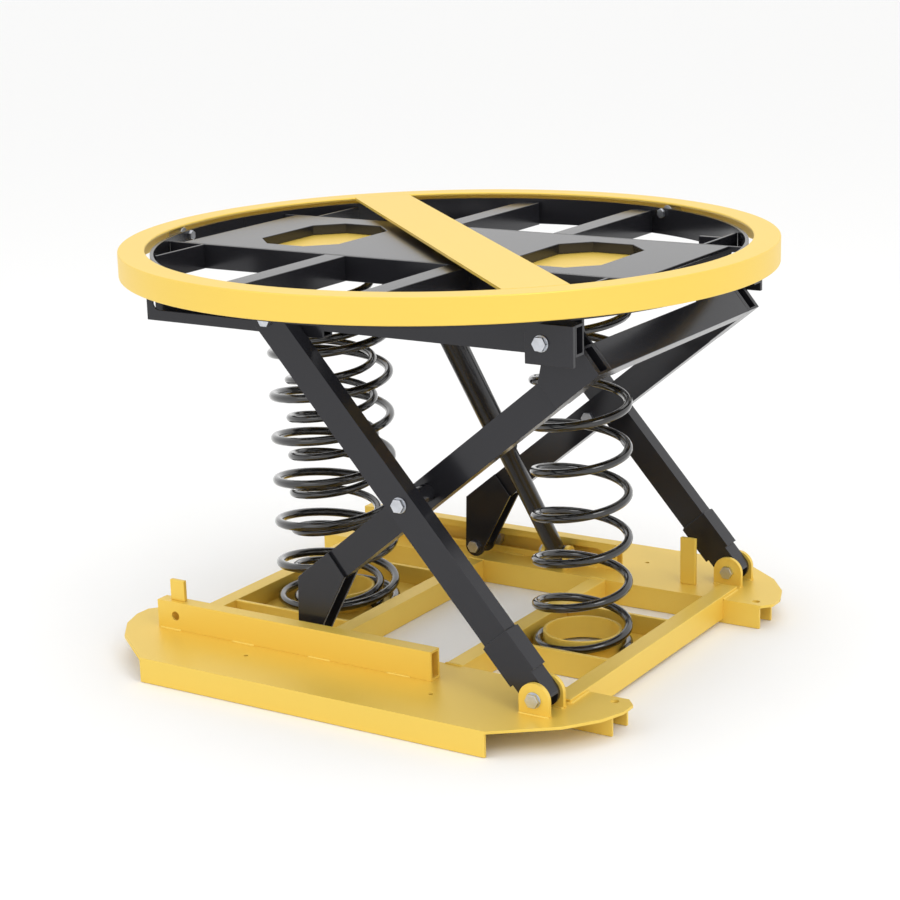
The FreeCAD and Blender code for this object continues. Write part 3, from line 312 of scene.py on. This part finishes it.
def paint(name, colour, gloss, coat, deeper, highlight_colour, highlight_amount):
    """A sprayed paint with blotches, orange peel and a painted highlight along its sharp edges."""
    if name in bpy.data.materials:
        return bpy.data.materials[name]
    material, tree, shader = new_material(name)
    coat_node = placed_group(tree, painted_surface(), Gloss=gloss)
    # Painted highlight: a colour lighter than the paint, laid along sharp convex edges where light glints.
    highlight_node = placed_group(tree, painted_edge_highlight(), Amount=highlight_amount)
    tone = ranged(tree, coat_node.outputs["Tone"], 0.3, 0.7, 0.0, 1.0)
    body = mixed_colour(tree, tone, colour, [part * deeper for part in colour])
    final = add_node(tree, "ShaderNodeMix", data_type="RGBA")
    tree.links.new(highlight_node.outputs["Mask"], final.inputs[0])
    tree.links.new(body, final.inputs[6])
    final.inputs[7].default_value = (*highlight_colour, 1.0)
    tree.links.new(final.outputs[2], shader.inputs["Base Color"])
    tree.links.new(coat_node.outputs["Roughness"], shader.inputs["Roughness"])
    shader.inputs["Coat Weight"].default_value = coat
    shader.inputs["Coat Roughness"].default_value = 0.12
    bumped(tree, shader, coat_node.outputs["Height"], 0.12, 0.0004)
    return material


def metal(name, colour, roughness):
    """A bare or plated metal with fine scratches."""
    if name in bpy.data.materials:
        return bpy.data.materials[name]
    material, tree, shader = new_material(name)
    where = add_node(tree, "ShaderNodeTexCoord").outputs["Object"]
    stain = ranged(tree, noise(tree, where, 60.0), 0.3, 0.7, 0.0, 1.0)
    body = mixed_colour(tree, stain, colour, [part * 0.8 for part in colour])
    tree.links.new(body, shader.inputs["Base Color"])
    rough = ranged(tree, noise(tree, where, 240.0), 0.3, 0.7, roughness, roughness + 0.15)
    tree.links.new(rough, shader.inputs["Roughness"])
    shader.inputs["Metallic"].default_value = 1.0
    bumped(tree, shader, noise(tree, where, 700.0), 0.1, 0.0003)
    return material


def yellow_paint():
    """The golden yellow of the base and the ring."""
    colour = tuple(colours().yellow)
    # (0.95, 0.6, 0.12) is a painted edge highlight, lighter than the yellow.
    return paint("yellow_paint", colour, 0.3, 0.08, 0.93, (0.95, 0.6, 0.12), 0.5)


def black_paint():
    """The glossy black of the legs and the top frame."""
    colour = tuple(colours().black)
    # (0.04, 0.04, 0.04) is a painted edge highlight, lighter than the black.
    return paint("black_paint", colour, 0.12, 0.15, 1.8, (0.04, 0.04, 0.04), 0.4)


def spring_enamel():
    """The wet-looking black of the springs."""
    colour = tuple(colours().black)
    # (0.03, 0.03, 0.03) is a painted edge highlight, lighter than the black.
    return paint("spring_enamel", colour, 0.06, 0.8, 1.5, (0.03, 0.03, 0.03), 0.2)


def zinc_plate():
    """The silver of the bolts."""
    return metal("zinc_plate", tuple(colours().zinc), 0.28)


def roller_steel():
    """The dull turned steel of the rollers."""
    return metal("roller_steel", (0.42, 0.42, 0.43), 0.38)


def hard_chrome():
    """The polished rod of the damper."""
    return metal("hard_chrome", tuple(colours().rod), 0.12)


FINISHES = {
    "yellow_paint": yellow_paint,
    "black_paint": black_paint,
    "spring_black": spring_enamel,
    "zinc_steel": zinc_plate,
    "roller_steel": roller_steel,
    "damper_black": black_paint,
}


# ------------------------------------------------------------------ modelling helpers


def body_of_node(node):
    """The body that a node of the frame belongs to."""
    return next(body for body, members in BODIES.items() if node in members)


def select_only(piece):
    """Make one piece the only selected and the active one."""
    bpy.ops.object.select_all(action="DESELECT")
    piece.select_set(True)
    bpy.context.view_layer.objects.active = piece


def apply_all(piece):
    """Apply every modifier of a piece in order."""
    select_only(piece)
    for modifier in list(piece.modifiers):
        bpy.ops.object.modifier_apply(modifier=modifier.name)


def finish_piece(piece, name, material, body):
    """Name a piece, put its place in its mesh, paint it and let it ride."""
    select_only(piece)
    bpy.ops.object.transform_apply(location=True, rotation=True, scale=True)
    piece.name = name
    piece.data.name = name
    piece.data.materials.clear()
    piece.data.materials.append(material)
    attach(piece, body)
    return piece


def eased(node, radius, segments=2):
    """A copy of a frame node with merged faces and eased edges, in its place."""
    mesh = frame["nodes"][node].data.copy()
    piece = bpy.data.objects.new(node + "_eased", mesh)
    bpy.context.scene.collection.objects.link(piece)
    select_only(piece)
    bpy.ops.object.mode_set(mode="EDIT")
    bpy.ops.mesh.select_all(action="SELECT")
    bpy.ops.mesh.remove_doubles(threshold=MERGE_REACH)
    bpy.ops.mesh.dissolve_limited(angle_limit=math.radians(0.5))
    bpy.ops.mesh.select_all(action="DESELECT")
    bpy.ops.object.mode_set(mode="OBJECT")
    bevel = piece.modifiers.new("Ease", "BEVEL")
    bevel.width = radius
    bevel.segments = segments
    bevel.limit_method = "ANGLE"
    bevel.angle_limit = math.radians(40)
    bevel.use_clamp_overlap = True
    apply_all(piece)
    bpy.ops.object.shade_smooth_by_angle(angle=math.radians(55))
    normals = piece.modifiers.new("Normals", "WEIGHTED_NORMAL")
    normals.keep_sharp = True
    apply_all(piece)
    slot = SLOTS[node]
    finish_piece(piece, node + "_eased", FINISHES[slot](), body_of_node(node))
    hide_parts(node)
    return piece


def line_of_points(start, end, step):
    """Points from start to end, about a step apart."""
    start, end = Vector(start), Vector(end)
    count = max(2, round((end - start).length / step))
    return [start.lerp(end, index / count) for index in range(count + 1)]


def swept(points, radius, name, ripple=0.0, sides=3):
    """A round bar along points; ripple makes it a weld bead."""
    curve = bpy.data.curves.new(name, "CURVE")
    curve.dimensions = "3D"
    curve.bevel_depth = radius
    curve.bevel_resolution = sides
    curve.use_fill_caps = True
    line = curve.splines.new("POLY")
    line.points.add(len(points) - 1)
    last = len(points) - 1
    for index, (point, place) in enumerate(zip(line.points, points)):
        point.co = (*place, 1.0)
        end = 0.55 if ripple and index in (0, last) else 1.0
        point.radius = end * (1.0 - ripple * (index % 2))
    piece = bpy.data.objects.new(name, curve)
    bpy.context.scene.collection.objects.link(piece)
    select_only(piece)
    bpy.ops.object.convert(target="MESH")
    piece = bpy.context.view_layer.objects.active
    bpy.ops.object.mode_set(mode="EDIT")
    bpy.ops.mesh.select_all(action="SELECT")
    bpy.ops.mesh.normals_make_consistent(inside=False)
    bpy.ops.object.mode_set(mode="OBJECT")
    bpy.ops.object.shade_smooth_by_angle(angle=math.radians(60))
    return piece


def joined(pieces):
    """Join pieces into one object."""
    bpy.ops.object.select_all(action="DESELECT")
    for piece in pieces:
        piece.select_set(True)
    bpy.context.view_layer.objects.active = pieces[0]
    bpy.ops.object.join()
    return bpy.context.view_layer.objects.active


def weld_beads(name, lines, body, material, radius=None):
    """Ripple beads along several lines, as one piece."""
    size = radius or sizes().bead
    beads = []
    for start, end in lines:
        points = line_of_points(start, end, BEAD_STEP)
        beads.append(swept(points, size, name, ripple=BEAD_RIPPLE))
    return finish_piece(joined(beads), name, material, body)


def washer(name, centre, outward, radius, material, body):
    """A chamfered ring under a bolt head."""
    bpy.ops.object.select_all(action="DESELECT")
    bpy.ops.mesh.primitive_circle_add(vertices=40, radius=radius, fill_type="NGON")
    ring = bpy.context.active_object
    bpy.ops.object.mode_set(mode="EDIT")
    bpy.ops.mesh.select_all(action="SELECT")
    bpy.ops.mesh.inset(thickness=radius * 0.42)
    bpy.ops.mesh.delete(type="FACE")
    bpy.ops.mesh.select_all(action="SELECT")
    bpy.ops.mesh.extrude_region_move(TRANSFORM_OT_translate={"value": (0, 0, WASHER_THICKNESS)})
    bpy.ops.mesh.select_all(action="SELECT")
    bpy.ops.mesh.normals_make_consistent(inside=False)
    bpy.ops.object.mode_set(mode="OBJECT")
    bevel = ring.modifiers.new("Chamfer", "BEVEL")
    bevel.width = 0.4 * MM
    bevel.limit_method = "ANGLE"
    apply_all(ring)
    bpy.ops.object.shade_smooth_by_angle(angle=math.radians(40))
    turn = Vector((0, 0, 1)).rotation_difference(Vector(outward))
    ring.matrix_world = Matrix.Translation(Vector(centre)) @ turn.to_matrix().to_4x4()
    return finish_piece(ring, name, material, body)


# ------------------------------------------------------------------ springs


def coil_points(centre_x, coil, low, high, turns, closed, wire, per_turn=48):
    """Points of a coil whose end turns lie close on each other."""
    flat = 2.0 * wire / (high - low)
    steps = round(turns * per_turn)
    active = (1.0 - 2.0 * closed * flat) / (turns - 2.0 * closed)
    weights = []
    for index in range(steps):
        turn = (index + 0.5) / per_turn
        inside = min(turn, turns - turn) - closed
        share = min(1.0, max(0.0, inside / 0.35 + 0.5))
        weights.append(flat + (active - flat) * share)
    scale = (high - low) / sum(weights)
    points = []
    height = low
    for index in range(steps + 1):
        angle = 2.0 * math.pi * index / per_turn
        points.append((centre_x + coil * math.cos(angle), coil * math.sin(angle), height))
        if index < steps:
            height += weights[index] * scale
    return points


SPRINGS = (
    ("left_outer_spring", "left", -256.0, 104.0, 7.8, 9.5),
    ("left_inner_spring", "left", -256.0, 76.0, 6.8, 10.5),
    ("right_spring", "right", 250.0, 79.0, 7.4, 9.5),
)


def spring(node, side, centre_x, coil, wire, turns):
    """A closed-end coil between the bottom and top of the spring part."""
    low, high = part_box(node)
    centre_x, coil, wire = centre_x * MM, coil * MM, wire * MM
    points = coil_points(
        centre_x,
        coil,
        low.z + wire,
        high.z - wire,
        turns,
        sizes().closed_turns,
        wire,
    )
    piece = swept(points, wire, node + "_coil", sides=5)
    finish_piece(piece, node + "_coil", spring_enamel(), "base")
    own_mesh(piece)
    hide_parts(node)


# ------------------------------------------------------------------ weld lines


def rail_top():
    """Height of the rails' tops."""
    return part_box("front_side_rail")[1].z


def guide_lines(name, side):
    """Stitches along both bottom edges of a guide tube."""
    low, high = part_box(name + "_guide_tube")
    edges = (low.y, high.y) if side < 0 else (high.y, low.y)
    lines = []
    for share in STITCHES:
        start = low.x + share * (high.x - low.x) + STITCH_INSET
        for y in edges:
            lines.append(((start, y, rail_top()), (start + STITCH_LENGTH, y, rail_top())))
    return lines


def lug_lines(side):
    """Beads along the feet of a pair of pivot lugs."""
    low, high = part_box("base_pivot_lugs")
    outer = low.y if side < 0 else high.y
    lines = []
    for depth in LUG_FACES:
        y = outer - side * depth
        lines.append(((low.x, y, rail_top()), (high.x, y, rail_top())))
    return lines


def tube_lines(name, side):
    """Beads where the cross tubes meet a rail."""
    low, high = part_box("right_end_cross_tube")
    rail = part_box(name + "_side_rail")
    end, edge, top = (low.y, rail[1].y, rail_top()) if side < 0 else (high.y, rail[0].y, rail_top())
    lines = [
        ((low.x, edge, top), (low.x, end, top)),
        ((high.x, edge, top), (high.x, end, top)),
        ((low.x, end, top), (high.x, end, top)),
    ]
    for x in (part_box("cross_tubes")[0].x, *CROSS_TUBE_LEFTS):
        lines.append(((x, edge, top), (x + CROSS_TUBE_WIDTH, edge, top)))
    return lines


# ------------------------------------------------------------------ operators


class LIFT_OT_base(bpy.types.Operator):
    """Build the base: rails, cross tubes, guides, lugs, posts and their welds"""

    bl_idname = "lift.base"
    bl_label = "Base"

    def execute(self, context):
        edge = sizes().edge
        for node in BODIES["base"]:
            if SLOTS[node] == "yellow_paint":
                eased(node, edge)
        yellow = yellow_paint()
        for name, side in SIDES:
            weld_beads(name + "_guide_welds", guide_lines(name, side), "base", yellow)
            weld_beads(name + "_lug_welds", lug_lines(side), "base", yellow)
            weld_beads(name + "_tube_welds", tube_lines(name, side), "base", yellow)
        return {"FINISHED"}


class LIFT_OT_legs(bpy.types.Operator):
    """Build the legs, their end fittings, plates and welds"""

    bl_idname = "lift.legs"
    bl_label = "Legs"

    def execute(self, context):
        for body in ("front_outer_leg", "rear_outer_leg", "inner_frame"):
            for node in BODIES[body]:
                if SLOTS[node] == "black_paint":
                    eased(node, LEG_EDGE if "leg" in node else sizes().edge, 3)
        black = black_paint()
        pin = Vector(JOINTS["lift"]["pos_m"])
        top = Vector(JOINTS["front_upper_roller_spin"]["pos_m"])
        for name, side in SIDES:
            along = Vector((top.x - pin.x, 0, top.z - pin.z)).normalized()
            across = Vector((-along.z, 0, along.x))
            middle = side * OUTER_LEG_Y
            start = Vector((pin.x, 0, pin.z)) + along * FORK_LENGTH
            lines = []
            for y in (middle - FORK_HALF_WIDTH, middle + FORK_HALF_WIDTH):
                upper = start + across * FORK_HALF_DEPTH
                lower = start - across * FORK_HALF_DEPTH
                lines.append(((upper.x, y, upper.z), (lower.x, y, lower.z)))
            for way in (1, -1):
                face = start + across * LEG_HALF_DEPTH * way
                near = (face.x, middle - LEG_HALF_WIDTH, face.z)
                lines.append((near, (face.x, middle + LEG_HALF_WIDTH, face.z)))
            weld_beads(name + "_fork_welds", lines, name + "_outer_leg", black, FORK_BEAD)
        return {"FINISHED"}


class LIFT_OT_top_frame(bpy.types.Operator):
    """Build the black top frame with its deck, hoop, beams and spring caps"""

    bl_idname = "lift.top_frame"
    bl_label = "Top frame"

    def execute(self, context):
        for node in BODIES["top_frame"]:
            if SLOTS[node] in ("black_paint", "yellow_paint"):
                eased(node, sizes().edge)
        return {"FINISHED"}


class LIFT_OT_turntable(bpy.types.Operator):
    """Build the turning ring and its crossbar"""

    bl_idname = "lift.turntable"
    bl_label = "Turntable"

    def execute(self, context):
        eased("turntable_ring", 3.0 * MM, 3)
        eased("crossbar", 0.8 * MM)
        return {"FINISHED"}


class LIFT_OT_springs(bpy.types.Operator):
    """Build the coil springs"""

    bl_idname = "lift.springs"
    bl_label = "Springs"

    def execute(self, context):
        for row in SPRINGS:
            spring(*row)
        return {"FINISHED"}


class LIFT_OT_rollers(bpy.types.Operator):
    """Build the leg rollers and the ring rollers"""

    bl_idname = "lift.rollers"
    bl_label = "Rollers"

    def execute(self, context):
        for node, slot in SLOTS.items():
            if slot == "roller_steel":
                eased(node, 1.0 * MM)
        return {"FINISHED"}


class LIFT_OT_fasteners(bpy.types.Operator):
    """Build the bolts, axles and washers"""

    bl_idname = "lift.fasteners"
    bl_label = "Fasteners"

    def execute(self, context):
        zinc = zinc_plate()
        for node, slot in SLOTS.items():
            if slot == "zinc_steel":
                eased(node, 0.8 * MM)
        radius = sizes().washer
        for body, joint, depth, label in PIVOTS:
            place = JOINTS[joint]["pos_m"]
            for name, side in SIDES:
                centre = (place[0], side * depth * MM, place[2])
                outward = (0, side, 0)
                washer("%s_%s_washer" % (name, label), centre, outward, radius, zinc, body)
        return {"FINISHED"}


class LIFT_OT_damper(bpy.types.Operator):
    """Build the damper"""

    bl_idname = "lift.damper"
    bl_label = "Damper"

    def execute(self, context):
        for node in ("damper_cylinder", "damper_rod"):
            eased(node, 1.0 * MM)
        return {"FINISHED"}


class LIFT_OT_stage(bpy.types.Operator):
    """Set up the floor, the lights and the camera"""

    bl_idname = "lift.stage"
    bl_label = "Stage"

    def execute(self, context):
        floor()
        lights()
        camera()
        return {"FINISHED"}


def floor():
    """A wide pale floor."""
    bpy.ops.object.select_all(action="DESELECT")
    bpy.ops.mesh.primitive_plane_add(size=60, location=(0, 0, -1 * MM))
    plane = bpy.context.active_object
    plane.name = "floor"
    material, _, shader = new_material("floor_paper")
    shader.inputs["Base Color"].default_value = (*colours().floor, 1.0)
    shader.inputs["Roughness"].default_value = 0.9
    plane.data.materials.append(material)


def area_light(name, place, target, size, power, colour=(1, 1, 1)):
    """A soft square light that looks at a point."""
    data = bpy.data.lights.new(name, "AREA")
    data.size = size
    data.energy = power
    data.color = colour
    lamp = bpy.data.objects.new(name, data)
    bpy.context.scene.collection.objects.link(lamp)
    lamp.location = place
    lamp.rotation_euler = (Vector(target) - Vector(place)).to_track_quat("-Z", "Y").to_euler()


def lights():
    """Soft studio light from the right, the front and above."""
    middle = (0, 0, 0.35)
    area_light("key", (3.2, -1.6, 3.0), middle, 1.6, 34)
    area_light("front", (-1.6, -3.6, 2.2), middle, 2.2, 16)
    area_light("top", (0, 0.4, 3.6), middle, 2.6, 16)
    world = bpy.data.worlds.new("studio")
    world.use_nodes = True
    back = world.node_tree.nodes["Background"]
    back.inputs["Color"].default_value = (1.0, 1.0, 1.0, 1.0)
    back.inputs["Strength"].default_value = 1.0
    bpy.context.scene.world = world
    bpy.context.scene.view_settings.view_transform = "Standard"


def camera():
    """The camera, at the height and turn that show the table's right front side."""
    azimuth, elevation, roll = (math.radians(turn) for turn in (32.28, 14.91, -1.47))
    forward = Vector(
        (
            -math.sin(azimuth) * math.cos(elevation),
            math.cos(azimuth) * math.cos(elevation),
            -math.sin(elevation),
        )
    )
    level = Vector((math.cos(azimuth), math.sin(azimuth), 0))
    upright = level.cross(forward)
    right = level * math.cos(roll) + upright * math.sin(roll)
    up = upright * math.cos(roll) - level * math.sin(roll)
    data = bpy.data.cameras.new("camera")
    data.lens = 84.69
    data.sensor_width = 36.0
    view = bpy.data.objects.new("camera", data)
    bpy.context.scene.collection.objects.link(view)
    turn = Matrix((right, up, -forward)).transposed().to_4x4()
    view.matrix_world = Matrix.Translation((1.8892, -3.0044, 1.2746)) @ turn
    bpy.context.scene.camera = view


OPERATORS = (
    LIFT_OT_base,
    LIFT_OT_legs,
    LIFT_OT_top_frame,
    LIFT_OT_turntable,
    LIFT_OT_springs,
    LIFT_OT_rollers,
    LIFT_OT_fasteners,
    LIFT_OT_damper,
    LIFT_OT_stage,
)


class LIFT_PT_table(bpy.types.Panel):
    """Lists what builds the table"""

    bl_idname = "LIFT_PT_table"
    bl_label = "Lift table"
    bl_space_type = "VIEW_3D"
    bl_region_type = "UI"
    bl_category = "Lift table"

    def draw(self, context):
        for operator in OPERATORS:
            self.layout.operator(operator.bl_idname)
        for settings in (context.scene.table_colours, context.scene.table_sizes):
            for name in settings.bl_rna.properties.keys():
                if name not in ("rna_type", "name"):
                    self.layout.prop(settings, name)


CLASSES = (TableColours, TableSizes, *OPERATORS, LIFT_PT_table)


def register():
    """Register the classes and the settings."""
    for item in CLASSES:
        bpy.utils.register_class(item)
    bpy.types.Scene.table_colours = PointerProperty(type=TableColours)
    bpy.types.Scene.table_sizes = PointerProperty(type=TableSizes)


def unregister():
    """Take the classes and the settings away."""
    del bpy.types.Scene.table_sizes
    del bpy.types.Scene.table_colours
    for item in reversed(CLASSES):
        bpy.utils.unregister_class(item)


def main():
    """Build everything in order."""
    register()
    for operator in OPERATORS:
        getattr(bpy.ops.lift, operator.bl_idname.split(".")[1])()


if __name__ == "__main__":
    main()
